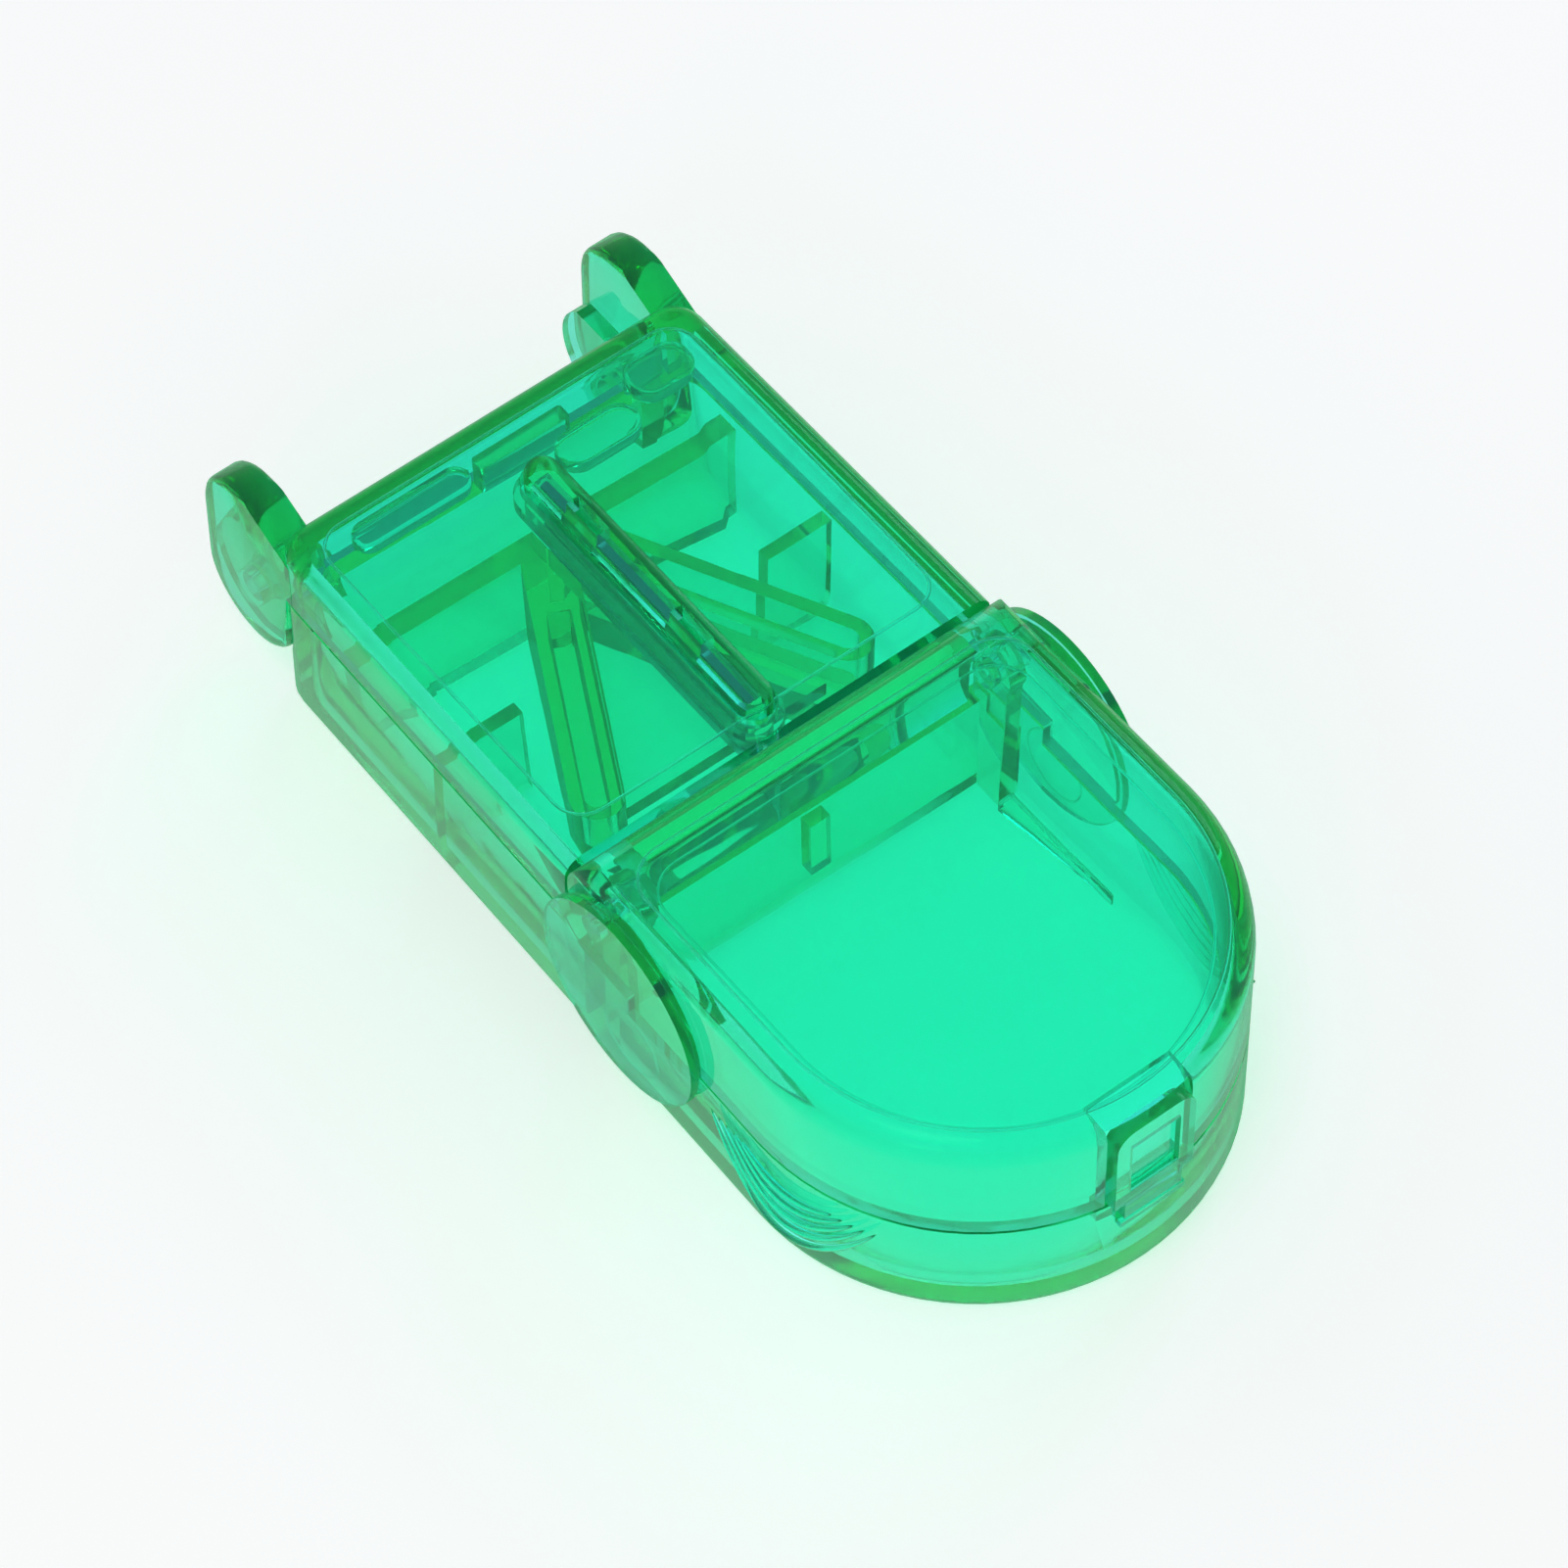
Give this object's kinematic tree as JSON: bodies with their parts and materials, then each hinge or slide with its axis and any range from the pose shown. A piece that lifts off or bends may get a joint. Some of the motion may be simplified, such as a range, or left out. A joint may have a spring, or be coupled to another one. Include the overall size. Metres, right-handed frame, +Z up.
{
  "type": "pill splitter",
  "caption": "Pocket pill splitter: clear green tray with a hinged blade lid over a V cradle and a hinged storage lid with a thumb latch at the round end.",
  "frame": {"origin": "on the underside, below the middle of the overall box", "axes": "+X right and across the width, +Y along the length towards the hinge ears behind the cutting bay, +Z up"},
  "size_m": [0.04, 0.085, 0.02],
  "materials": {
    "tray_green": "clear tinted",
    "lid_green": "clear tinted",
    "cradle_green": "clear tinted",
    "latch_green": "clear tinted",
    "pin_green": "clear tinted",
    "blade_steel": "ground"
  },
  "bodies": {
    "base": {"base_tray": "tray_green", "pill_cradle": "cradle_green", "cutter_hinge_pin_left": "pin_green", "cutter_hinge_pin_right": "pin_green", "storage_hinge_pin_left": "pin_green", "storage_hinge_pin_right": "pin_green"},
    "cutter": {"cutter_lid": "lid_green", "blade_holder": "cradle_green", "blade": "blade_steel"},
    "storage": {"storage_lid": "lid_green"},
    "latch": {"front_latch": "latch_green"}
  },
  "joints": [
    {"name": "cutter_lid_hinge", "type": "hinge", "parent": "base", "child": "cutter", "pos_m": [0, 0.0375, 0.0078], "axis": [-1, 0, 0], "range_deg": [0, 105]},
    {"name": "storage_lid_hinge", "type": "hinge", "parent": "base", "child": "storage", "pos_m": [0, -0.0055, 0.016], "axis": [-1, 0, 0], "range_deg": [0, 90]},
    {"name": "latch_flex", "type": "hinge", "parent": "storage", "child": "latch", "pos_m": [0, -0.0418, 0.0184], "axis": [-1, 0, 0], "range_deg": [0, 8], "stiffness_Nm_per_rad": 0.05}
  ]
}
